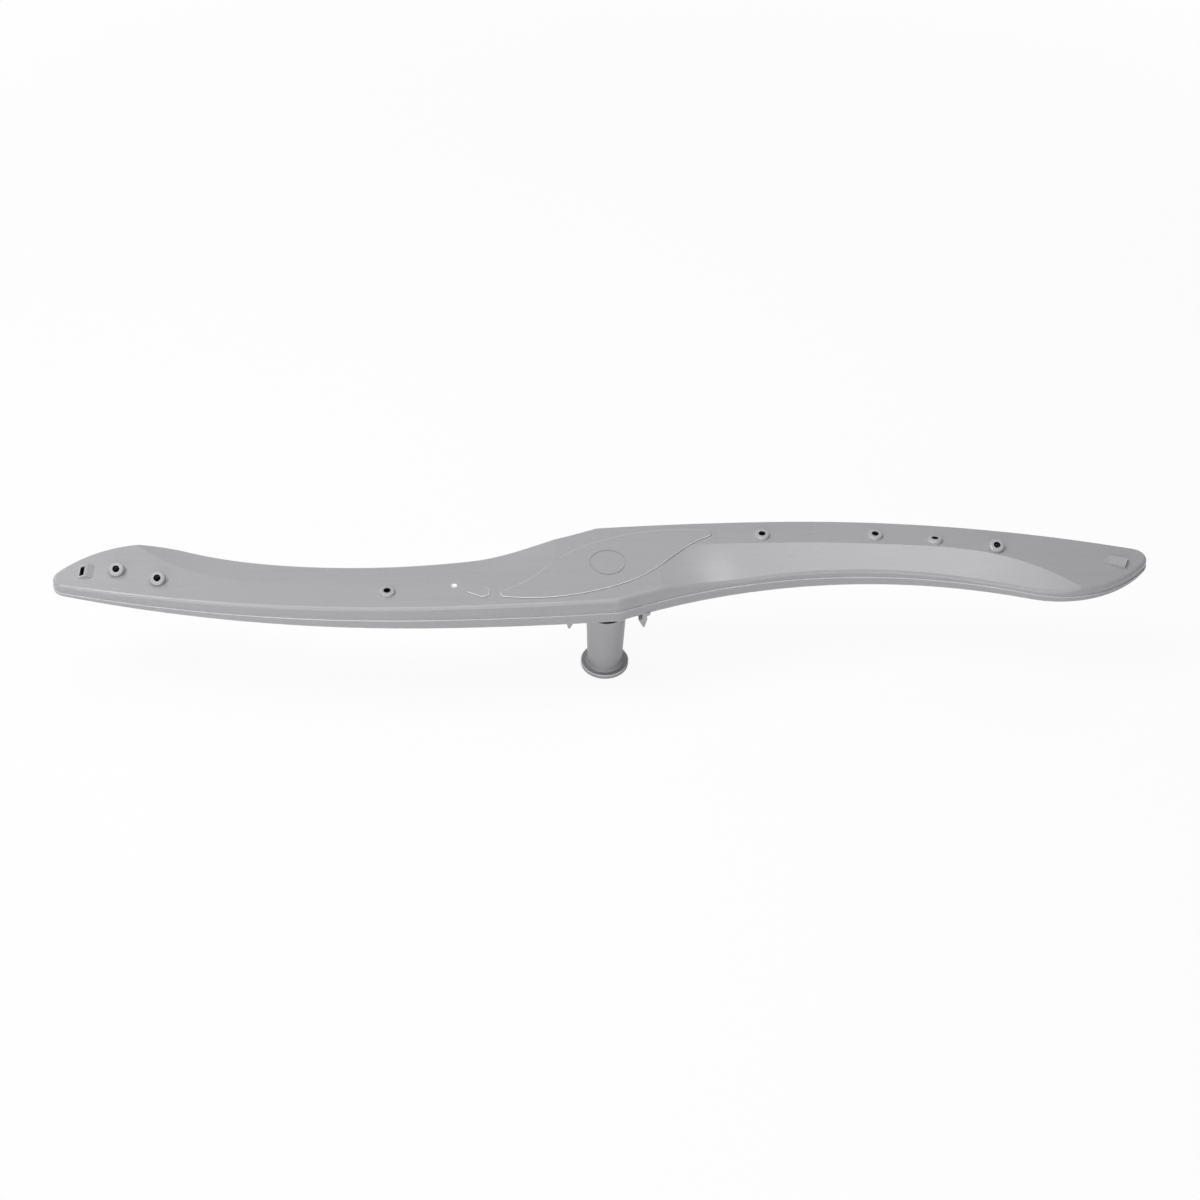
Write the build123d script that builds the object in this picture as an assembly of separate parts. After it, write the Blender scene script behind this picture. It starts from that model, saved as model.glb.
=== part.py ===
from build123d import *
from math import sqrt
import os

# Dishwasher spray arm, in millimetres. A flanged inlet tube stands on the origin with its axis along +Z,
# and the arm spins on the neck of the tube. X runs along the arm. The outline of the arm is the same after
# half a turn about Z, so most of it is worked out once, for the half that points to +X.

# Plan outline of the +X half: the outer edge bulges to +Y, the inner edge is hollow on the -Y side
corner_x = 3.9
corner_y = 23.2
outer_crest_x = 74.6
outer_crest_y = 25.7
inner_crest_x = 100.8
inner_crest_y = -4.3
belly_x = 178.7
belly_y = -17.3
tip_x = 235.9
tip_y = 3.5
tip_round = 5.8
corner_round = 6.0

# Section of the arm; the shares are parts of its depth
arm_depth = 12.3
lower_share = 0.44
scoop_share = 0.26
top_droop = 2.1
seam_rise = 1.0
bottom_rise = 4.5
wall = 2.0
seam_lip = 0.45
seam_gap = 0.15
top_round = 1.4
bottom_round = 1.3
tongue_height = 1.3
tongue_width = 0.9
weld_gap = 0.1

# Scooped slope beside the flat strip that carries the nozzles, with a soft run-in at the hub
strip_width = 14.5
scoop_start_x = 17.0
scoop_full_x = 58.0
scoop_bend_x = 148.7
scoop_end_x = 200.6
scoop_overrun = 3.0
run_in_lift = 0.12

# Inlet tube, and the hub that turns on it
flange_radius = 10.5
flange_thickness = 1.8
flange_root = 0.8
flange_chamfer = 0.3
tube_length = 32.0
tube_foot_radius = 7.6
shoulder_radius = 8.7
neck_radius = 7.2
bore_radius = 5.6
bore_chamfer = 0.6
running_clearance = 0.05
thrust_gap = 0.1
bush_wall = 0.95
bush_flange_radius = 8.3
bush_flange_thickness = 3.0
sleeve_wall = 1.5
sleeve_length = 11.6
washer_thickness = 0.8
washer_radius = 10.0
seat_height = 0.5
ring_thickness = 1.2
ring_radius = 9.4
ring_opening = 6.0
groove_depth = 0.6
neck_end = 1.2
neck_chamfer = 0.4

# Snap hooks under the hub
hook_near_x = 14.6
hook_far_x = 17.0
hook_y = 18.0
hook_width = 3.0
hook_drop = 6.9
hook_stem = 1.5
hook_head = 4.5
hook_barb = 1.6
hook_heel = 0.6
hook_gusset = 1.8

# Nozzles: which half, distance from the sharp tip, inset from the outer edge, lean towards -Y, collar height
nozzles = [
    (1, 168.6, 9.7, 0.0, 1.3),
    (1, 119.6, 9.3, 0.0, 1.3),
    (1, 93.9, 10.0, -17.0, 0.9),
    (1, 68.3, 11.9, 20.0, 2.4),
    (-1, 143.3, 10.1, 0.0, 1.3),
    (-1, 47.9, 11.1, -32.0, 3.1),
    (-1, 30.2, 13.8, -32.0, 3.1),
]
collar_radius = 3.4
collar_draft = 0.15
collar_round = 0.7
jet_radius = 1.5

# Tip hoods
hood_slot = 1.9
hood_slot_width = 5.8
hood_lip = 1.1
hood_height = 1.0
hood_length = 4.0
hood_width = 7.6
hood_from_tip = 16.7
hood_inset = 10.5
plank_length = 8.6
plank_width = 5.6
plank_low = 0.4
plank_high = 1.4
plank_turn = -26.0
plank_from_tip = 18.0
plank_inset = 11.6
plank_mouth = 0.7
plank_mouth_width = 4.2
plank_mouth_depth = 3.0

# Marks on the hub's top face
leaf_edge = [(-44, -20), (-30.2, -21), (-3, -16.4), (17, -6.7), (31.1, 6.5), (44, 15.5)]
leaf_tip = (45.7, 18)
leaf_round = 1.2
leaf_height = 0.4
leaf_bevel = 0.3
circle_radius = 7.5
circle_groove = 0.5
circle_depth = 0.25
drop_radius = 3.3
drop_length = 7.1
drop_x = -52.9
drop_y = -16.3
dimple_x = -64.9
dimple_y = -12.0
dimple_radius = 1.1
dimple_depth = 0.4

# Levels that follow from the stack on the tube
sleeve_bottom = tube_length + thrust_gap + bush_flange_thickness
underside = sleeve_bottom + sleeve_length
floor_top = underside + wall
seat_top = floor_top + seat_height
seam = underside + lower_share * arm_depth
top = underside + arm_depth
groove_low = seat_top + washer_thickness + thrust_gap
groove_high = groove_low + ring_thickness + thrust_gap
tube_top = groove_high + neck_end
above = top + arm_depth
below = tube_length
side = 2 * outer_crest_y


def arc_radius(reach, fall):
    """Radius of an arc that is level at its crest and falls by that much over that reach."""
    return (reach**2 + fall**2) / (2 * fall)


outer_radius = arc_radius(tip_x - outer_crest_x, outer_crest_y - tip_y)
droop_radius = arc_radius(tip_x, top_droop)


def outer_edge(x):
    """Y of the outer edge at a station between the crest and the tip."""
    return outer_crest_y - outer_radius + sqrt(outer_radius**2 - (x - outer_crest_x) ** 2)


def top_at(x):
    """Height of the top face, which droops from the hub to both tips."""
    return top - droop_radius + sqrt(droop_radius**2 - x**2)


scoop_slope = scoop_share * arm_depth / (outer_edge(inner_crest_x) - strip_width - inner_crest_y)


def half_turn(shape):
    """The same shape on the other half of the arm."""
    return Rotation(0, 0, 180) * shape


def plan():
    """The S-shaped outline as a face on the XY plane."""
    corner = (corner_x, -corner_y)
    far_corner = (-corner_x, corner_y)
    outer_crest = (outer_crest_x, outer_crest_y)
    inner_crest = (inner_crest_x, inner_crest_y)
    outer_hub = TangentArc(outer_crest, far_corner, tangent=(-1, 0))
    outer = TangentArc(outer_crest, (tip_x, tip_y), tangent=(1, 0))
    inner_hub = TangentArc(inner_crest, corner, tangent=(-1, 0))
    inner = TangentArc(inner_crest, (belly_x, belly_y), tangent=(1, 0))
    belly = TangentArc((belly_x, belly_y), (tip_x, tip_y), tangent=inner % 1)
    half = [outer_hub, outer, belly, inner, inner_hub]
    edges = half + [half_turn(edge) for edge in half]
    sharp = make_face(edges)
    tips = [vertex for vertex in sharp.vertices() if abs(vertex.X) > belly_x]
    tipped = fillet(tips, tip_round)
    corners = [vertex for vertex in tipped.vertices() if abs(vertex.X) < 2 * corner_x]
    return fillet(corners, corner_round)


def slab(low_hub, low_rise, high_hub, high_rise):
    """A sheet under and over arcs that run from the hub's level to a rise at the tips."""
    reach = tip_x
    high = ThreePointArc((-reach, 0, high_hub + high_rise), (0, 0, high_hub), (reach, 0, high_hub + high_rise))
    low = ThreePointArc((-reach, 0, low_hub + low_rise), (0, 0, low_hub), (reach, 0, low_hub + low_rise))
    ends = [Line(high @ 0, low @ 0), Line(high @ 1, low @ 1)]
    return extrude(make_face([high, low] + ends), side, dir=(0, 1, 0), both=True)


def grown(face, distance):
    """An outline made larger, or smaller where the distance is negative, with every arc of it drawn afresh."""
    return make_face([ThreePointArc(edge @ 0, edge @ 0.5, edge @ 1) for edge in offset(face, distance).edges()])


def prism(face, low=below, high=above):
    """A face on the XY plane, extruded between two levels."""
    return Pos(0, 0, low) * extrude(face, high - low)


def ridge_line():
    """Plan points of the crease between the nozzle strip and the slope, from the hub to the tip."""
    bend = (scoop_bend_x, outer_edge(scoop_bend_x) - strip_width)
    crest = (outer_crest_x, outer_crest_y - strip_width)
    strip = TangentArc(crest, bend, tangent=(1, 0))
    to_tip = TangentArc(bend, (scoop_end_x, belly_y - scoop_overrun), tangent=strip % 1)
    run_in = scoop_full_x - scoop_start_x
    places = [Vector(scoop_start_x + t * run_in, crest[1]) for t in (0, 0.2, 0.4, 0.6, 0.8, 1)]
    places += [strip @ t for t in (0, 0.33, 0.67)]
    return places + [to_tip @ t for t in (0, 0.25, 0.5, 0.75, 1)]


def run_in_share(x):
    """How much of the slope there is at a station: none at the hub, then a smooth rise to all of it."""
    t = min(1, (x - scoop_start_x) / (scoop_full_x - scoop_start_x))
    return t * t * (3 - 2 * t)


def scoop():
    """The wedge of air over the slope of the +X half."""
    reach = 2 * strip_width + 2 * scoop_overrun
    across = (scoop_overrun, (scoop_overrun - reach) / 2, -reach)
    rows = []
    for place in ridge_line():
        share = run_in_share(place.X)
        level = top_at(place.X) + run_in_lift * (1 - share)
        rows.append([(place.X, place.Y + y, level + share * scoop_slope * y) for y in across])
    slope = Face.make_surface_from_array_of_points(rows)
    return Solid.extrude(slope, Vector(0, 0, arm_depth + reach * scoop_slope))


def collar(height):
    """A nozzle's collar about its own axis, with a root that reaches down through the wall."""
    root = 3 * wall
    rim = collar_radius - collar_draft
    outline = Polyline(
        (0, 0, -root),
        (collar_radius, 0, -root),
        (collar_radius, 0, 0),
        (rim, 0, height - collar_round),
        (rim - 0.3 * collar_round, 0, height - 0.3 * collar_round),
        (rim - collar_round, 0, height),
        (0, 0, height),
        close=True,
    )
    return revolve(make_face(outline), Axis.Z)


def nozzle_place(side, from_tip, inset, lean):
    """Where a nozzle stands: on the top face, with its axis leaned about X."""
    x = tip_x - from_tip
    place = Pos(x, outer_edge(x) - inset, top_at(x)) * Rotation(lean, 0, 0)
    return half_turn(place) if side < 0 else place


def leaf():
    """The leaf panel's outline, the same after half a turn."""
    long_edge = Spline(leaf_edge)
    far_edge = half_turn(long_edge)
    tip = ThreePointArc(long_edge @ 1, leaf_tip, far_edge @ 0)
    sharp = make_face([long_edge, far_edge, tip, half_turn(tip)])
    return fillet(sharp.vertices(), leaf_round)


def teardrop():
    """The teardrop mark, with its point to -X."""
    disc = Circle(drop_radius)
    contact = drop_radius**2 / drop_length
    half_chord = sqrt(drop_radius**2 - contact**2)
    point = Polyline((-contact, -half_chord), (-drop_length, 0), (-contact, half_chord), close=True)
    return Pos(drop_x, drop_y) * (disc + make_face(point))


def under_scoops(body, cover):
    """A body cut back to lie the given cover below both slopes."""
    drop = cover * sqrt(1 + scoop_slope**2)
    lowered = Pos(0, 0, -drop) * scoop()
    return body - lowered - half_turn(lowered)


def cavity(outline):
    """The hollow inside the upper shell, open downwards."""
    hollow = prism(grown(outline, -wall)) & slab(below, bottom_rise, top - wall, -top_droop)
    return under_scoops(hollow, wall)


def raised_mark(face, level):
    """A mark that stands proud of the top face, with a bevelled edge."""
    body = prism(face, seam + top_round, level + leaf_height)
    return chamfer(body.faces().sort_by(Axis.Z)[-1].edges(), leaf_bevel)


def tip_hood():
    """The short hood on the -X tip: a lip over a slot, which falls away towards the hub."""
    x = tip_x - hood_from_tip
    profile = Polyline(
        (-hood_slot - hood_lip / 2, 0, -wall),
        (-hood_slot - hood_lip / 2, 0, 0),
        (0, 0, hood_height),
        (hood_lip, 0, hood_height),
        (hood_length, 0, 0),
        (hood_length, 0, -wall),
        close=True,
    )
    body = extrude(make_face(profile), hood_width / 2, dir=(0, 1, 0), both=True)
    place = Pos(-x, -outer_edge(x) + hood_inset, top_at(x))
    slot = Box(hood_slot, hood_slot_width, 4 * wall, align=(Align.MAX, Align.CENTER, Align.CENTER))
    return place * body, place * slot


def tip_plank():
    """The ramp on the +X tip, whose mouth faces outwards."""
    x = tip_x - plank_from_tip
    half = plank_length / 2
    place = Pos(x, outer_edge(x) - plank_inset, top_at(x)) * Rotation(0, 0, plank_turn)
    profile = Polyline(
        (-half, 0, -wall),
        (-half, 0, plank_low),
        (half, 0, plank_high),
        (half, 0, -wall),
        close=True,
    )
    body = extrude(make_face(profile), plank_width / 2, dir=(0, 1, 0), both=True)
    mouth = Pos(half, 0, plank_mouth / 2) * Box(2 * plank_mouth_depth, plank_mouth_width, plank_mouth)
    duct_place = Pos(half - plank_mouth_depth, 0, 0)
    duct = duct_place * Box(plank_mouth, plank_mouth_width, 4 * wall, align=(Align.MIN, Align.CENTER, Align.MAX))
    return place * body, place * (mouth + duct)


def upper_shell(outline):
    """The top half of the arm, with everything that is moulded on it."""
    body = prism(outline) & slab(seam, seam_rise, top, -top_droop)
    body = body - scoop() - half_turn(scoop())
    walls = body.faces().filter_by(lambda face: abs(face.normal_at().Z) < 0.01)
    crown = body.faces().filter_by(lambda face: face.normal_at().Z > 0.5)
    on_crown = ShapeList([edge for face in crown for edge in face.edges()])
    body = fillet([edge for face in walls for edge in face.edges() if edge in on_crown], top_round)
    hood, hood_mouth = tip_hood()
    plank, plank_duct = tip_plank()
    body = body + hood + plank
    body += raised_mark(leaf(), top)
    body += raised_mark(teardrop(), top_at(drop_x))
    places = [nozzle_place(*nozzle[:-1]) for nozzle in nozzles]
    for place, nozzle in zip(places, nozzles):
        body += place * collar(nozzle[-1])
    body -= cavity(outline)
    for place in places:
        body -= place * Cylinder(jet_radius, 8 * wall)
    body = body - hood_mouth - plank_duct
    ring = Circle(circle_radius + circle_groove / 2) - Circle(circle_radius - circle_groove / 2)
    body -= prism(ring, top + leaf_height - circle_depth)
    dish_radius = arc_radius(dimple_radius, dimple_depth)
    body -= Pos(dimple_x, dimple_y, top_at(dimple_x) + dish_radius - dimple_depth) * Sphere(dish_radius)
    joint = grown(outline, seam_lip) - grown(outline, -seam_lip)
    return body - (prism(joint) & slab(underside, bottom_rise, seam + seam_gap, seam_rise))


def hook(x):
    """One snap hook under the hub, with its barb towards the tube and a gusset behind its stem."""
    tip = underside - hook_drop
    shelf = tip + hook_head
    half = hook_stem / 2
    root = underside + wall / 2
    outline = Polyline(
        (x - half, 0, root),
        (x - half, 0, shelf),
        (x - half - hook_barb, 0, shelf - hook_stem / 4),
        (x - half / 2, 0, tip),
        (x + half / 2, 0, tip),
        (x + half + hook_heel, 0, shelf),
        (x + half, 0, underside - hook_gusset / 2),
        (x + half + hook_gusset, 0, underside),
        (x + half + hook_gusset, 0, root),
        close=True,
    )
    return extrude(make_face(outline), hook_width / 2, dir=(0, 1, 0), both=True)


def lower_shell(outline):
    """The bottom half of the arm, with the hub's sleeve and seat, the weld tongue and the snap hooks."""
    body = prism(grown(outline, seam_lip)) & slab(underside, bottom_rise, seam, seam_rise)
    base = body.faces().sort_by(Axis.Z)[0]
    body = fillet(base.edges(), bottom_round)
    body -= prism(grown(outline, -wall)) & slab(floor_top, bottom_rise, top, seam_rise)
    outside = grown(outline, -wall - weld_gap)
    tongue = prism(outside - grown(outside, -tongue_width))
    tongue &= slab(floor_top - wall / 2, bottom_rise, seam + tongue_height, seam_rise)
    body += under_scoops(tongue, wall + weld_gap)
    bush_seat = neck_radius + running_clearance + bush_wall
    sleeve = Circle(bush_seat + sleeve_wall)
    body += prism(sleeve, sleeve_bottom, floor_top)
    body += prism(Circle(washer_radius + wall), floor_top - wall / 2, seat_top)
    near = Pos(0, -hook_y) * hook(hook_near_x)
    far = Pos(0, hook_y) * hook(hook_far_x)
    for part in (near, far, half_turn(near), half_turn(far)):
        body += part
    return body - prism(Circle(bush_seat), below, above)


def inlet_tube():
    """The flanged tube, its shoulder and its neck, turned about Z."""
    groove_radius = neck_radius - groove_depth
    outline = Polyline(
        (bore_radius + bore_chamfer, 0, 0),
        (flange_radius, 0, 0),
        (flange_radius, 0, flange_thickness - flange_chamfer),
        (flange_radius - flange_chamfer, 0, flange_thickness),
        (tube_foot_radius + flange_root, 0, flange_thickness),
        (tube_foot_radius, 0, flange_thickness + flange_root),
        (shoulder_radius, 0, tube_length),
        (neck_radius, 0, tube_length),
        (neck_radius, 0, groove_low),
        (groove_radius, 0, groove_low),
        (groove_radius, 0, groove_high),
        (neck_radius, 0, groove_high),
        (neck_radius, 0, tube_top - neck_chamfer),
        (neck_radius - neck_chamfer, 0, tube_top),
        (bore_radius, 0, tube_top),
        (bore_radius, 0, bore_chamfer),
        close=True,
    )
    return revolve(make_face(outline), Axis.Z)


def bearing_bush():
    """The flanged bush that is pressed into the sleeve from below."""
    bush_radius = neck_radius + running_clearance + bush_wall
    barrel = prism(Circle(bush_radius), sleeve_bottom, seat_top)
    flange = prism(Circle(bush_flange_radius), sleeve_bottom - bush_flange_thickness, sleeve_bottom)
    return barrel + flange - prism(Circle(neck_radius + running_clearance))


def thrust_washer():
    """The washer on the seat in the hub."""
    ring = Circle(washer_radius) - Circle(neck_radius + 2 * running_clearance)
    return prism(ring, seat_top, seat_top + washer_thickness)


def retaining_ring():
    """The open snap ring in the groove of the neck."""
    inside = neck_radius - groove_depth + running_clearance
    ring = Circle(ring_radius) - Circle(inside)
    ring -= Pos(ring_radius, 0) * Rectangle(2 * ring_radius, ring_opening)
    return prism(ring, groove_low + thrust_gap / 2, groove_low + thrust_gap / 2 + ring_thickness)


outline = plan()
parts = {
    "upper_shell": upper_shell(outline),
    "lower_shell": lower_shell(outline),
    "inlet_tube": inlet_tube(),
    "bearing_bush": bearing_bush(),
    "thrust_washer": thrust_washer(),
    "retaining_ring": retaining_ring(),
}

os.makedirs("parts", exist_ok=True)
for name, shape in parts.items():
    shape.label = name
    export_step(shape, f"parts/{name}.step")
    print(name, "volume", round(shape.volume), "solids", len(shape.solids()))
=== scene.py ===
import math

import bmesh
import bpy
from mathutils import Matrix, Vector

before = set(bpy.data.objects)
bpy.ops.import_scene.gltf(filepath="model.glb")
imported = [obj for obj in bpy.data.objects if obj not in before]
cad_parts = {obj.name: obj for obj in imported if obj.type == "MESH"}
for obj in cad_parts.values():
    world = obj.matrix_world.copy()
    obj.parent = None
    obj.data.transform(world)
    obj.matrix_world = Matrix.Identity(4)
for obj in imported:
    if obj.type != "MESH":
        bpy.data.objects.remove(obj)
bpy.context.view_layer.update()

# %% [markdown]
# A dishwasher spray arm in satin grey plastic.
# The real object is two moulded half shells, joined along a seam, which spin on a flanged inlet tube. Their
# shapes come from the frame, so this lesson is about the camera, the light and the finish of each surface.

# %% [markdown]
# The camera repeats the photograph's viewing angle. It stands in front of the arm, looks down at it by a
# little over forty degrees, and is turned a touch to one side. Three angles aim it at the middle of the hub's
# top, and a small slide sideways and upwards then frames the picture, so the lens needs no shift.

# %% Camera at the photograph's angle
IMAGE_SIDE = 1200.0
SENSOR_WIDTH = 36.0
FOCAL_PIXELS = 2010.3
CLIP_START = 0.01
DISTANCE = 0.850
YAW = math.radians(4.288)
PITCH = math.radians(43.108)
ROLL = math.radians(-1.800)
SLIDE_RIGHT = -0.002842
SLIDE_UP = -0.015733
TOP_LEVEL = 0.059
HUB_TOP = Vector((0.0, 0.0, TOP_LEVEL))

right = Vector((math.cos(YAW), -math.sin(YAW), 0.0))
ahead = Vector((math.sin(YAW), math.cos(YAW), 0.0))
upward = Vector((0.0, 0.0, 1.0))
view_line = ahead * math.cos(PITCH) - upward * math.sin(PITCH)
view_up = ahead * math.sin(PITCH) + upward * math.cos(PITCH)
across = right * math.cos(ROLL) - view_up * math.sin(ROLL)
upright = right * math.sin(ROLL) + view_up * math.cos(ROLL)

camera_data = bpy.data.cameras.new("camera")
camera_data.sensor_width = SENSOR_WIDTH
camera_data.lens = FOCAL_PIXELS / IMAGE_SIDE * SENSOR_WIDTH
camera_data.clip_start = CLIP_START
camera = bpy.data.objects.new("camera", camera_data)
camera.matrix_world = Matrix((across, upright, -view_line)).transposed().to_4x4()
aim = HUB_TOP + right * SLIDE_RIGHT + view_up * SLIDE_UP
camera.matrix_world.translation = aim - view_line * DISTANCE
bpy.context.scene.collection.objects.link(camera)
bpy.context.scene.camera = camera
camera_spot = [round(value, 3) for value in camera.matrix_world.translation]
print("camera at", camera_spot, "with a lens of", round(camera_data.lens, 1), "mm")

# %% [markdown]
# Shader maths is easier to read as Python than as a picture of wires. One small class wraps a socket, so
# that an expression such as 1 - mask adds its own Math node. A second class holds one node tree and adds any
# other node from its type, its settings and the values of its sockets.

# %% Sockets that read as numbers
class Value:
    """A number that changes over a surface."""

    def __init__(self, tree, socket):
        self.tree = tree
        self.socket = socket

    def joined(self, operation, first, second):
        node = self.tree.nodes.new("ShaderNodeMath")
        node.operation = operation
        for slot, item in zip(node.inputs, (first, second)):
            if isinstance(item, Value):
                self.tree.links.new(item.socket, slot)
            else:
                slot.default_value = item
        return Value(self.tree, node.outputs[0])

    def __add__(self, other):
        return self.joined("ADD", self, other)

    def __radd__(self, other):
        return self.joined("ADD", other, self)

    def __sub__(self, other):
        return self.joined("SUBTRACT", self, other)

    def __rsub__(self, other):
        return self.joined("SUBTRACT", other, self)

    def __mul__(self, other):
        return self.joined("MULTIPLY", self, other)

    def __rmul__(self, other):
        return self.joined("MULTIPLY", other, self)

    def __truediv__(self, other):
        return self.joined("DIVIDE", self, other)

    def __abs__(self):
        return self.joined("ABSOLUTE", self, 0.0)

    def or_more(self, other):
        return self.joined("MAXIMUM", self, other)


# %% A node tree that grows by one method
class Nodes:
    """A node tree, whose nodes are added by type. A socket's name has underscores for its spaces."""

    def __init__(self, tree):
        self.tree = tree

    def add(self, kind, settings=None, **sockets):
        node = self.tree.nodes.new(kind)
        for name, setting in (settings or {}).items():
            setattr(node, name, setting)
        self.feed_all(node, sockets)
        return node

    def feed_all(self, node, sockets):
        for name, item in sockets.items():
            self.feed(node.inputs[name.replace("_", " ")], item)

    def feed(self, slot, item):
        if isinstance(item, Value):
            self.tree.links.new(item.socket, slot)
        elif isinstance(item, bpy.types.NodeSocket):
            self.tree.links.new(item, slot)
        else:
            slot.default_value = item

    def value(self, socket):
        return Value(self.tree, socket)


# %% [markdown]
# A small place on a piece, such as a bore or a bevel, could have its own faces and its own material slot.
# Here it is found by where it lies instead, on Object coordinates. They are metres, and they stay on the
# piece when it turns. This class gives them as numbers, and with them noise, distances and the heights of a
# curve.

# %% Numbers over a surface
class Places(Nodes):
    """A node tree with Object coordinates, in metres."""

    def __init__(self, tree):
        super().__init__(tree)
        self.place = self.add("ShaderNodeTexCoord").outputs["Object"]

    def axes(self):
        """The three coordinates, each as a number."""
        return [self.value(out) for out in self.add("ShaderNodeSeparateXYZ", Vector=self.place).outputs]

    def stretched(self, stretch):
        """The coordinates, with each axis made longer or shorter."""
        return self.add("ShaderNodeMapping", Vector=self.place, Scale=stretch).outputs["Vector"]

    def noise(self, size, detail=2.0, place=None):
        """Noise whose blobs are about the given size."""
        node = self.add("ShaderNodeTexNoise", Vector=place or self.place, Scale=1.0 / size, Detail=detail)
        return self.value(node.outputs["Fac"])

    def distance(self, spot):
        """Distance from a spot."""
        node = self.add("ShaderNodeVectorMath", {"operation": "DISTANCE"})
        self.feed(node.inputs[0], self.place)
        self.feed(node.inputs[1], spot)
        return self.value(node.outputs["Value"])

    def curve(self, amount, points):
        """The height, from 0 to 1, of a smooth curve through points whose places run from 0 to 1."""
        node = self.add("ShaderNodeFloatCurve", Value=amount)
        track = node.mapping.curves[0].points
        track[0].location = points[0]
        track[1].location = points[-1]
        for point in points[1:-1]:
            track.new(*point)
        node.mapping.update()
        return self.value(node.outputs["Value"])


# %% [markdown]
# A mask is a number from 0 to 1 over the surface, which says where a place is. Every mask here comes from Map
# Range nodes, which turn smoothly from 0 to 1 between two amounts, so that no edge is jagged.

# %% Masks
SPOT_CORE = 0.8
LINE_CORE = 0.6


class Masks(Places):
    """Masks with soft edges."""

    def between(self, amount, low, high):
        """0 where the amount is low, 1 where it is high, and smooth in between."""
        settings = {"interpolation_type": "SMOOTHSTEP"}
        node = self.add("ShaderNodeMapRange", settings, Value=amount, From_Min=low, From_Max=high)
        return self.value(node.outputs["Result"])

    def past(self, amount, edge, blend):
        """0 up to an edge, and 1 from a blend past it."""
        return self.between(amount, edge, edge + blend)

    def band(self, amount, low, high, blend):
        """1 from a low edge to a high one."""
        return self.past(amount, low, blend) * (1 - self.past(amount, high, blend))

    def line(self, amount, middle, half_width):
        """1 where the amount is at a middle, and 0 from a half width on."""
        return 1 - self.between(abs(amount - middle), LINE_CORE * half_width, half_width)

    def near(self, spot, radius):
        """1 at a spot, and 0 from a radius on."""
        return 1 - self.between(self.distance(spot), SPOT_CORE * radius, radius)


# %% [markdown]
# A finish is one material with one Principled shader. It can mix two colours by a mask. The Mix node has a
# set of sockets for each kind of data under the same names, so its colour sockets are picked by number.

# %% One finish
MIX_FIRST, MIX_SECOND, MIX_RESULT = 6, 7, 2


class Finish(Masks):
    """A material with one Principled shader."""

    def __init__(self, name):
        self.material = bpy.data.materials.new(name)
        self.material.use_nodes = True
        super().__init__(self.material.node_tree)
        self.shader = self.tree.nodes["Principled BSDF"]

    def set_shader(self, **sockets):
        """Gives the shader's sockets their values or links."""
        self.feed_all(self.shader, sockets)

    def bump(self, height, depth):
        """A bump of that many metres for a height of one."""
        return self.add("ShaderNodeBump", Height=height, Strength=1.0, Distance=depth).outputs["Normal"]

    def shades(self, amount, first, second):
        """A colour between two colours."""
        node = self.add("ShaderNodeMix", {"data_type": "RGBA"}, Factor=amount)
        self.feed(node.inputs[MIX_FIRST], first)
        self.feed(node.inputs[MIX_SECOND], second)
        return node.outputs[MIX_RESULT]


# %% [markdown]
# Arms of this kind are usually moulded in polypropylene. Up close, a satin moulded skin has a fine grain, its
# gloss drifts a little from place to place, and its grey is not quite even. Faint streaks run along the arm,
# as they do where a melt has flowed along a mould. All of it comes from noise, whose size is given in metres,
# so the grain is the same on every piece. The tube, the black bearing pieces and the steel ring share the
# recipe, and the ring is made a metal.

# %% Satin skin
GRAIN_SIZE = 0.0004
GRAIN_DEPTH = 0.000012
DRIFT_SIZE = 0.06
FLOW_SIZE = 0.004
FLOW_STRETCH = (0.06, 1.0, 1.0)
NOISE_MEAN = 0.5
TONE_OF_DRIFT, TONE_OF_FLOW, TONE_OF_GRAIN = 0.6, 0.25, 0.15
GLOSS_OF_DRIFT, GLOSS_OF_FLOW, GLOSS_OF_GRAIN = 0.10, 0.05, 0.06


class SatinFinish(Finish):
    """A satin skin, which can be painted over in places."""

    def __init__(self, name, dark, light, roughness):
        super().__init__(name)
        grain = self.noise(GRAIN_SIZE, detail=3.0)
        drift = self.noise(DRIFT_SIZE, detail=3.0)
        flow = self.noise(FLOW_SIZE, place=self.stretched(FLOW_STRETCH))
        tone = drift * TONE_OF_DRIFT + flow * TONE_OF_FLOW + grain * TONE_OF_GRAIN
        self.colour = self.shades(tone, dark, light)
        self.gloss = (
            roughness
            + (drift - NOISE_MEAN) * GLOSS_OF_DRIFT
            + (flow - NOISE_MEAN) * GLOSS_OF_FLOW
            + (grain - NOISE_MEAN) * GLOSS_OF_GRAIN
        )
        relief = self.bump(grain, GRAIN_DEPTH)
        self.set_shader(Base_Color=self.colour, Roughness=self.gloss, Normal=relief)
        print(name, "has a roughness of about", roughness)

    def paint(self, *coats):
        """Lays colours over the skin, each where its mask is 1, and the last one on top."""
        for mask, colour in coats:
            self.colour = self.shades(mask, self.colour, colour)
        self.set_shader(Base_Color=self.colour)


# %% One finish for each kind of piece
SHELL_GREYS = ((0.337, 0.335, 0.349, 1.0), (0.387, 0.385, 0.401, 1.0))
TUBE_GREYS = ((0.337, 0.335, 0.349, 1.0), (0.379, 0.377, 0.393, 1.0))
BEARING_GREYS = ((0.008, 0.008, 0.009, 1.0), (0.016, 0.016, 0.017, 1.0))
RING_GREYS = ((0.50, 0.50, 0.51, 1.0), (0.62, 0.62, 0.63, 1.0))

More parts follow.
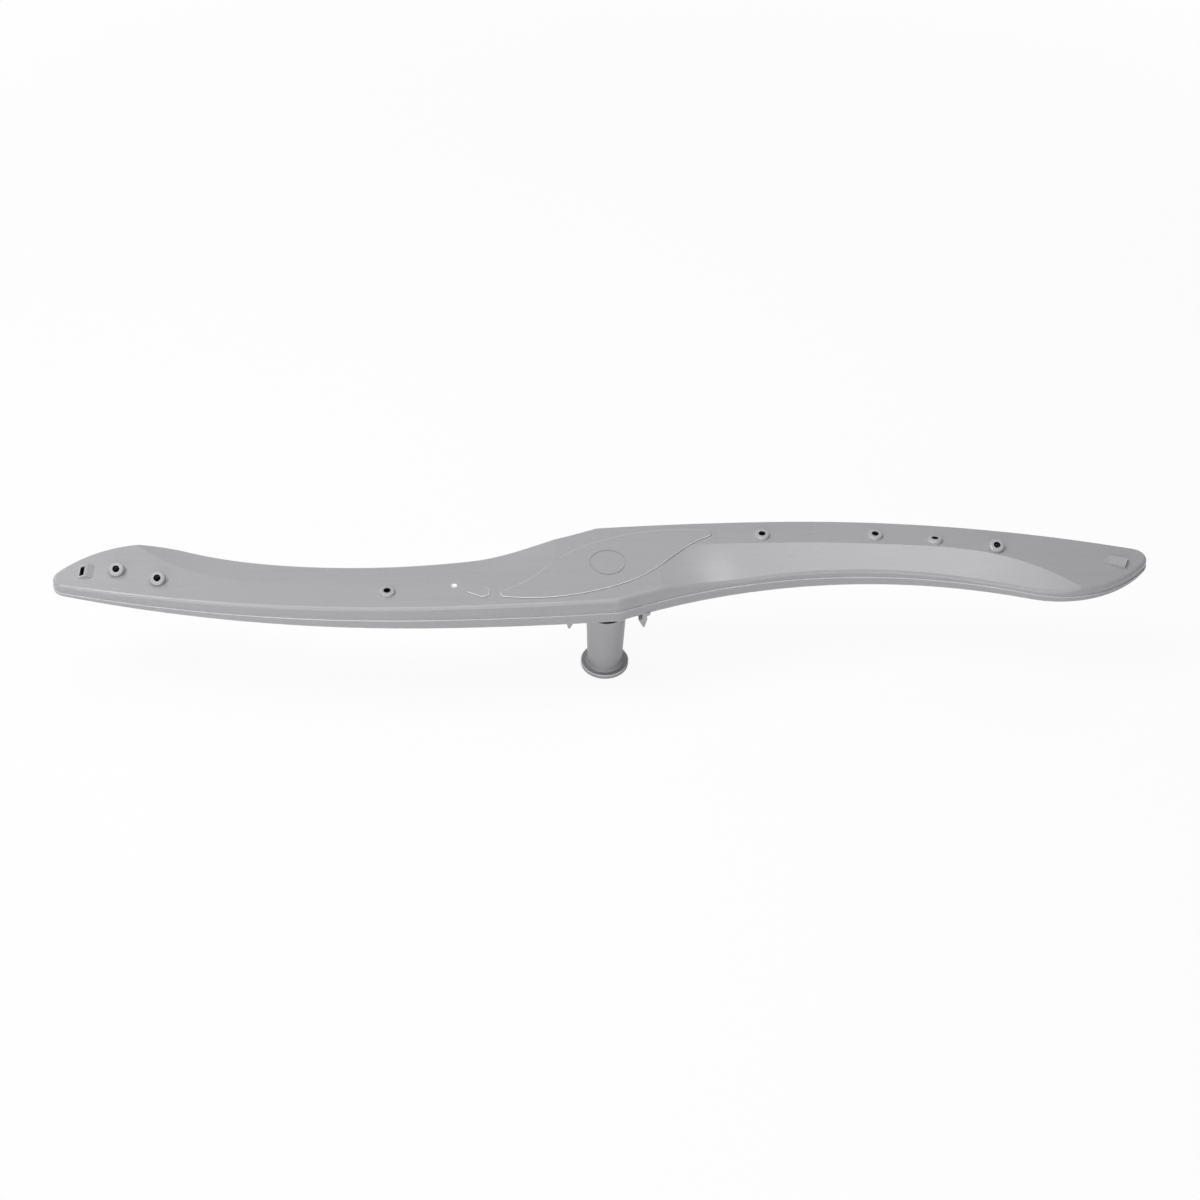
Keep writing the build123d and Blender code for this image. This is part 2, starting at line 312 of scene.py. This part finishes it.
upper = SatinFinish("upper_plastic", *SHELL_GREYS, roughness=0.28)
lower = SatinFinish("lower_plastic", *SHELL_GREYS, roughness=0.28)
tube = SatinFinish("tube_plastic", *TUBE_GREYS, roughness=0.40)
bearing = SatinFinish("bearing_plastic", *BEARING_GREYS, roughness=0.42)
ring = SatinFinish("ring_steel", *RING_GREYS, roughness=0.26)
ring.set_shader(Metallic=1.0)

# %% [markdown]
# A few small places differ from the skin round them. The first is a small dish beside the drop, which shows
# as a bright spot. It is taken for the mark of the gate, where the melt enters the mould. The dish itself is
# in the frame. It is made smoother than the skin, and its bright spot is a painted highlight, which makes it
# paler. A mask by distance from one point does that, with no picture wrapped round the arm.

# %% Gate mark, with a painted highlight
GATE_HIGHLIGHT_GREY = (0.80, 0.80, 0.81, 1.0)
GATE_SPOT = (-0.0649, -0.0120, 0.0588)
GATE_RADIUS = 0.0014
GATE_GLOSS = 0.12


def mm(metres):
    """Metres as millimetres, rounded for printing."""
    return round(1000.0 * metres, 3)


# The gate's dish is made smoother, and painted pale as a painted highlight.
gate_highlight = upper.near(GATE_SPOT, GATE_RADIUS)
upper.set_shader(Roughness=upper.gloss * (1 - gate_highlight) + GATE_GLOSS * gate_highlight)
print("gate mark", mm(2 * GATE_RADIUS), "mm across")

# %% [markdown]
# The leaf panel on the hub and the drop beside it stand a little proud of the top. In the photograph their
# edges draw a thin pale line with a dark one at its foot. The bevels are in the frame, but they are narrower
# than a pixel, and plain light hardly shows them. So a highlight is painted on the bevel and a shadow at its
# foot, each found by its height above the top, and matched to the photograph. How far the leaf and the drop
# reach from the hub's axis is compared as a square, which needs no root.

# %% Painted highlight and shadow on the bevels of the leaf and the drop
BEVEL_HIGHLIGHT_GREY = (0.85, 0.85, 0.86, 1.0)
FOOT_SHADOW_GREY = (0.03, 0.03, 0.03, 1.0)
BEVEL_RISE = (0.00019, 0.00036)
FOOT_RISE = (0.00002, 0.00017)
BEVEL_BLEND = 0.00004
DROP_LEVEL = 0.05889
LEAF_REACH = 0.0468
DROP_REACH = 0.0625
CIRCLE_REACH = 0.0105
REACH_BLEND = 0.00002

x, y, z = upper.axes()
past_leaf = upper.past(x * x, LEAF_REACH**2, REACH_BLEND)
past_drop = upper.past(x * x, DROP_REACH**2, REACH_BLEND)
past_circle = upper.past(x * x + y * y, CIRCLE_REACH**2, REACH_BLEND)
leaf = past_circle * (1 - past_leaf)
drop = past_leaf * (1 - past_drop)


def on_leaf_and_drop(rise):
    """A band of heights above the top, on the leaf and on the drop."""
    low, high = rise
    leaf_band = upper.band(z, TOP_LEVEL + low, TOP_LEVEL + high, BEVEL_BLEND)
    drop_band = upper.band(z, DROP_LEVEL + low, DROP_LEVEL + high, BEVEL_BLEND)
    return leaf_band * leaf + drop_band * drop


# A painted highlight on the bevels, and a painted shadow at their feet.
bevel_highlights = on_leaf_and_drop(BEVEL_RISE)
foot_shadows = on_leaf_and_drop(FOOT_RISE)
print("bevels from", mm(BEVEL_RISE[0]), "to", mm(BEVEL_RISE[1]), "mm above the top")

# %% [markdown]
# On the far side the bevel faces away from the camera, and the photograph still shows a faint pale line.
# It is a painted highlight, drawn just inside the edge. A Float Curve gives the edge's Y for each X, through
# a few points of the leaf's outline. It works on numbers from 0 to 1, so lengths are turned into shares and
# back.
# The round end of the drop is an arc, so its painted highlight needs only a distance from the middle of the
# arc.

# %% Painted highlight along the far edge of the leaf and the round end of the drop
FAR_HIGHLIGHT_GREY = (0.47, 0.47, 0.48, 1.0)
FAR_EDGE = [
    (-0.0440, -0.0155),
    (-0.0378, -0.0119),
    (-0.0311, -0.0065),
    (-0.0170, 0.0067),
    (0.0030, 0.0164),
    (0.0302, 0.0210),
    (0.0440, 0.0200),
]
FAR_SPAN = 0.044
FAR_INSET = 0.0006
FAR_HALF_WIDTH = 0.00025
DROP_SPOT = (-0.0529, -0.0163, 0.0593)
DROP_RIM = 0.00275
DROP_FAR_SIDE = -0.0538
HEIGHT_BLEND = 0.0001
LENGTH_BLEND = 0.0005


def share_of_span(length):
    """A length within the span, as a number from 0 to 1."""
    return (length / FAR_SPAN + 1) / 2


def length_of_share(share):
    """The length that a number from 0 to 1 stands for."""
    return (share * 2 - 1) * FAR_SPAN


edge_points = [(share_of_span(px), share_of_span(py)) for px, py in FAR_EDGE]
edge_y = length_of_share(upper.curve(share_of_span(x), edge_points))
far_highlight = upper.line(y - edge_y, -FAR_INSET, FAR_HALF_WIDTH)
far_highlight = far_highlight * (1 - upper.past(x * x, FAR_SPAN**2, REACH_BLEND))
drop_highlight = upper.line(upper.distance(DROP_SPOT), DROP_RIM, FAR_HALF_WIDTH)
drop_highlight = drop_highlight * upper.past(x, DROP_FAR_SIDE, LENGTH_BLEND)
# A painted highlight, along the leaf's far edge and round the drop's end.
far_highlights = far_highlight.or_more(drop_highlight) * upper.past(z, TOP_LEVEL, HEIGHT_BLEND)
print("far edge runs through", len(FAR_EDGE), "points")

# %% [markdown]
# In the photograph the collars and the hood of the right half are a touch paler than the skin beside them.
# Whether that is the plastic or the light can't be told, so their grey is simply matched. They are found by
# their height, once the slow droop of the top towards both tips is taken away.

# %% Raised collars and hood of the right half
PROUD_GREY = (0.402, 0.400, 0.412, 1.0)
PROUD_RISE = 0.00045
PROUD_START = 0.05
TOP_CURVE = 0.0377

above_top = z + x * x * TOP_CURVE - TOP_LEVEL
proud = upper.past(above_top, PROUD_RISE, HEIGHT_BLEND) * upper.past(x, PROUD_START, LENGTH_BLEND)
print("raised details start", mm(PROUD_RISE), "mm above the top")

# %% [markdown]
# The jets and the slot under the left hood open into the dark inside of the arm, and hardly any light comes
# back out of them. The holes are in the frame, and painted shade only makes them as dark as in the
# photograph.
# Each hole gets a point or two inside it, and what lies close to one of them is painted nearly black as
# shade.

# %% Painted shade in the bores of the jets and the hood
BORE_SHADE_BLACK = (0.015, 0.015, 0.015, 1.0)
BORE_REACH = 0.0020
JET_SPOTS = [
    (0.0673, 0.0160, 0.0589),
    (0.1163, 0.0149, 0.0586),
    (0.1420, 0.0118, 0.0580),
    (0.1676, 0.0061, 0.0591),
    (-0.0926, -0.0153, 0.0588),
    (-0.1880, -0.0047, 0.0593),
    (-0.2057, 0.0017, 0.0590),
]
SLOT_SPOTS = [(-0.2201, 0.0008, 0.0558), (-0.2201, 0.0044, 0.0558)]

first_spot, *other_spots = JET_SPOTS + SLOT_SPOTS
# Painted shade: near-black round points inside each hole.
shaded_bores = upper.near(first_spot, BORE_REACH)
for bore_spot in other_spots:
    shaded_bores = shaded_bores.or_more(upper.near(bore_spot, BORE_REACH))
print("dark bores", len(JET_SPOTS), "and a slot with", len(SLOT_SPOTS), "spots")

# %% [markdown]
# The two halves meet at a seam in the side wall, which shows as a thin pale line, stronger in some places
# than in others. The line is light caught on the welded lip of the lower half, so a highlight is painted on
# the lip, patchy along it. The shallow groove above it in the upper half is painted pale too, as painted
# light against the shade in it, which would otherwise draw a dark line. Both are found by height,
# once the slow rise of the seam towards both tips is taken away.

# %% Painted highlight on the seam's lip, and painted light in the groove
SEAM_PAINTED_LIGHT_GREY = (0.76, 0.76, 0.77, 1.0)
SEAM_LEVEL = 0.05211
SEAM_CURVE = 0.018
SEAM_HIGHLIGHT_DEPTH = 0.00015
SEAM_HIGHLIGHT_CORE = 0.5
SEAM_HIGHLIGHT_PATCH = 0.05
SEAM_HIGHLIGHT_PATCH_EDGES = (0.40, 0.60)
SEAM_HIGHLIGHT_LEAST = 0.8
GROOVE_HEIGHT = 0.00015
GROOVE_BLEND = 0.3 * GROOVE_HEIGHT


def above_seam(finish):
    """Height above the curved seam."""
    along, _, height = finish.axes()
    return height - along * along * SEAM_CURVE - SEAM_LEVEL


# Painted light in the groove, against the shade that falls in it.
groove_painted_light = 1 - upper.past(above_seam(upper), GROOVE_HEIGHT, GROOVE_BLEND)
# A painted highlight on the lip, patchy along its length.
seam_highlight = lower.between(above_seam(lower), -SEAM_HIGHLIGHT_DEPTH, -SEAM_HIGHLIGHT_CORE * SEAM_HIGHLIGHT_DEPTH)
highlight_strength = lower.between(lower.noise(SEAM_HIGHLIGHT_PATCH), *SEAM_HIGHLIGHT_PATCH_EDGES)
seam_highlight = seam_highlight * (SEAM_HIGHLIGHT_LEAST + (1 - SEAM_HIGHLIGHT_LEAST) * highlight_strength)
print("weld line", mm(SEAM_HIGHLIGHT_DEPTH), "mm deep at", mm(SEAM_LEVEL), "mm")

# %% [markdown]
# Every mask of the shells is now there, and the colours go on in order, like coats of paint. The painted
# shade of the bores comes after the pale places of the top, most of them painted highlights, so that nothing
# pale runs into them.

# %% Colours of the two shells
# Painted highlights on the bevels, the far edges and the gate, painted shadow at the bevels' feet, painted
# shade in the bores, and painted light in the groove.
upper.paint(
    (bevel_highlights, BEVEL_HIGHLIGHT_GREY),
    (foot_shadows, FOOT_SHADOW_GREY),
    (far_highlights, FAR_HIGHLIGHT_GREY),
    (proud, PROUD_GREY),
    (gate_highlight, GATE_HIGHLIGHT_GREY),
    (shaded_bores, BORE_SHADE_BLACK),
    (groove_painted_light, SEAM_PAINTED_LIGHT_GREY),
)
# A painted highlight on the lip of the seam.
lower.paint((seam_highlight, SEAM_PAINTED_LIGHT_GREY))
print("painted", upper.material.name, "and", lower.material.name)

# %% [markdown]
# The flange of the tube has a small chamfer round its upper edge, which catches the light as a thin pale
# ring, painted on as a highlight. At the other end, under the arm, the photograph shows a thin black
# crescent, partly the black bearing bush and partly shade in the gap above the tube. The frame shows less of
# the bush there, so the last half millimetre of the tube's body is painted as black as the bush, as painted
# shade, along with the hidden neck above.

# %% Painted highlight on the flange rim, and painted shade at the upper edge
RIM_HIGHLIGHT_GREY = (0.78, 0.78, 0.79, 1.0)
RIM_RADIUS = 0.01015
RIM_OUTSIDE = 1.005 * RIM_RADIUS
RIM_LEVEL = 0.00148
RIM_TOP = 1.02 * RIM_LEVEL
EDGE_SHADE_BLACK = (0.012, 0.012, 0.013, 1.0)
EDGE_LEVEL = 0.03152
EDGE_BLEND = 0.00006

x, y, z = tube.axes()
on_edge = tube.between(x * x + y * y, RIM_RADIUS**2, RIM_OUTSIDE**2)
# A painted highlight on the flange's chamfer.
rim_highlight = on_edge * tube.between(z, RIM_LEVEL, RIM_TOP)
# Painted shade, as black as the bush, at the top of the tube's body.
edge = tube.past(z, EDGE_LEVEL, EDGE_BLEND)
tube.paint((rim_highlight, RIM_HIGHLIGHT_GREY), (edge, EDGE_SHADE_BLACK))
print("flange rim starts", mm(RIM_RADIUS), "mm from the axis")

# %% [markdown]
# Each node of the frame wears one finish all over. The masks above already tell its places apart, so a node
# needs only one material slot, and its mesh stays as it came.

# %% Finishes on the frame's nodes
finish_of = {
    "upper_shell": upper,
    "lower_shell": lower,
    "inlet_tube": tube,
    "bearing_bush": bearing,
    "thrust_washer": bearing,
    "retaining_ring": ring,
}
for node_name, finish in finish_of.items():
    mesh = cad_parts[node_name].data
    mesh.materials.clear()
    mesh.materials.append(finish.material)
    print(node_name, "wears", finish.material.name, "on", len(mesh.polygons), "faces")

# %% [markdown]
# The stage is a plain white floor under a soft studio light. In a product photograph the paper round the
# object is blown out to white without the object getting any brighter. Light Path does the same here: rays
# from the camera, and those that are mirrored or pass through glass, meet a white of strength 1, while the
# light that falls on the object stays at its plain level. Near the arm, the floor keeps a small share of its
# ordinary matt white, and with it the shadow. Farther out that share fades away, so that no horizon shows.
# From below, the floor is see-through, and the underside of the arm can be looked at.

# %% Seen-directly mask
SEEN_RAYS = ("Is Camera Ray", "Is Glossy Ray", "Is Transmission Ray")


def seen_directly(nodes):
    path = nodes.add("ShaderNodeLightPath").outputs
    camera_ray, mirrored_ray, glass_ray = [nodes.value(path[name]) for name in SEEN_RAYS]
    return camera_ray.or_more(mirrored_ray).or_more(glass_ray)


# %% Floor
FLOOR_HALF = 4.0

floor_mesh = bpy.data.meshes.new("floor")
paper = bmesh.new()
bmesh.ops.create_grid(paper, x_segments=1, y_segments=1, size=FLOOR_HALF)
paper.to_mesh(floor_mesh)
paper.free()
floor = bpy.data.objects.new("floor", floor_mesh)
bpy.context.scene.collection.objects.link(floor)
print("floor", 2 * FLOOR_HALF, "m wide")

# %% White of the floor
WHITE = (1.0, 1.0, 1.0, 1.0)
PAPER_GREY = (0.9, 0.9, 0.9, 1.0)
PAPER_ROUGHNESS = 0.9
GLOW_SHARE = 0.93
SHADOW_REACH = (0.35, 0.9)


def mixed(nodes, amount, first, second):
    """A shader between two shaders."""
    node = nodes.add("ShaderNodeMixShader", Fac=amount)
    nodes.feed(node.inputs[1], first)
    nodes.feed(node.inputs[2], second)
    return node.outputs["Shader"]


white = Finish("floor_white")
white.set_shader(Base_Color=PAPER_GREY, Roughness=PAPER_ROUGHNESS, Specular_IOR_Level=0.0)
x, y, z = white.axes()
far = white.between(x * x + y * y, SHADOW_REACH[0]**2, SHADOW_REACH[1]**2)
share = seen_directly(white) * (GLOW_SHARE + (1.0 - GLOW_SHARE) * far)
glow = white.add("ShaderNodeEmission", Color=WHITE, Strength=1.0).outputs["Emission"]
paper_white = mixed(white, share, white.shader.outputs["BSDF"], glow)
from_below = white.add("ShaderNodeNewGeometry").outputs["Backfacing"]
see_through = white.add("ShaderNodeBsdfTransparent").outputs["BSDF"]
one_sided = mixed(white, from_below, paper_white, see_through)
white.feed(white.tree.nodes["Material Output"].inputs["Surface"], one_sided)
floor_mesh.materials.append(white.material)
print("shadow fades from", SHADOW_REACH[0], "to", SHADOW_REACH[1], "m")

# %% [markdown]
# The world is white too where it is seen directly. To the object it gives only a little light from all
# round, so that no shadow is quite black. The view transform is Standard, so a colour renders about as it is
# written.

# %% World
ROOM_LIGHT = 0.05

world = bpy.data.worlds.new("studio")
world.use_nodes = True
room = Nodes(world.node_tree)
backdrop = world.node_tree.nodes["Background"]
strength = ROOM_LIGHT + (1.0 - ROOM_LIGHT) * seen_directly(room)
room.feed_all(backdrop, {"Color": WHITE, "Strength": strength})
bpy.context.scene.world = world
bpy.context.scene.view_settings.view_transform = "Standard"
print("room light", ROOM_LIGHT)

# %% [markdown]
# Five soft lamps stand round the arm and aim at the hub: a key on the left, one overhead, a wide fill in
# front for the side walls, and two behind, on the left and on the right, which lay a soft gloss on the
# slopes. They are area lamps, because a large face gives soft highlights, and the wide fill keeps the slopes
# from clipping when the arm is seen from behind. Each lamp has its place, the width and height of its face,
# and its power in watts.

# %% Lamps
LAMPS = {
    "key": ((-0.62, -0.12, 1.07), (0.45, 0.45), 5.95),
    "overhead": ((-0.06, -0.03, 0.56), (0.3, 0.3), 0.80),
    "front_fill": ((-0.35, -1.14, 0.40), (2.2, 0.75), 11.4),
    "back_left": ((-0.78, 0.78, 0.59), (0.7, 0.7), 2.9),
    "slope_glint": ((0.39, 0.49, 1.05), (0.32, 0.25), 1.85),
}


def soft_lamp(name, spot, size, watts):
    lamp = bpy.data.lights.new(name, "AREA")
    lamp.shape = "RECTANGLE"
    lamp.size, lamp.size_y = size
    lamp.energy = watts
    holder = bpy.data.objects.new(name, lamp)
    holder.location = spot
    holder.rotation_euler = (HUB_TOP - Vector(spot)).to_track_quat("-Z", "Y").to_euler()
    bpy.context.scene.collection.objects.link(holder)
    print(name, "gives", watts, "W from", spot)


for lamp_name, (lamp_spot, lamp_size, lamp_watts) in LAMPS.items():
    soft_lamp(lamp_name, lamp_spot, lamp_size, lamp_watts)
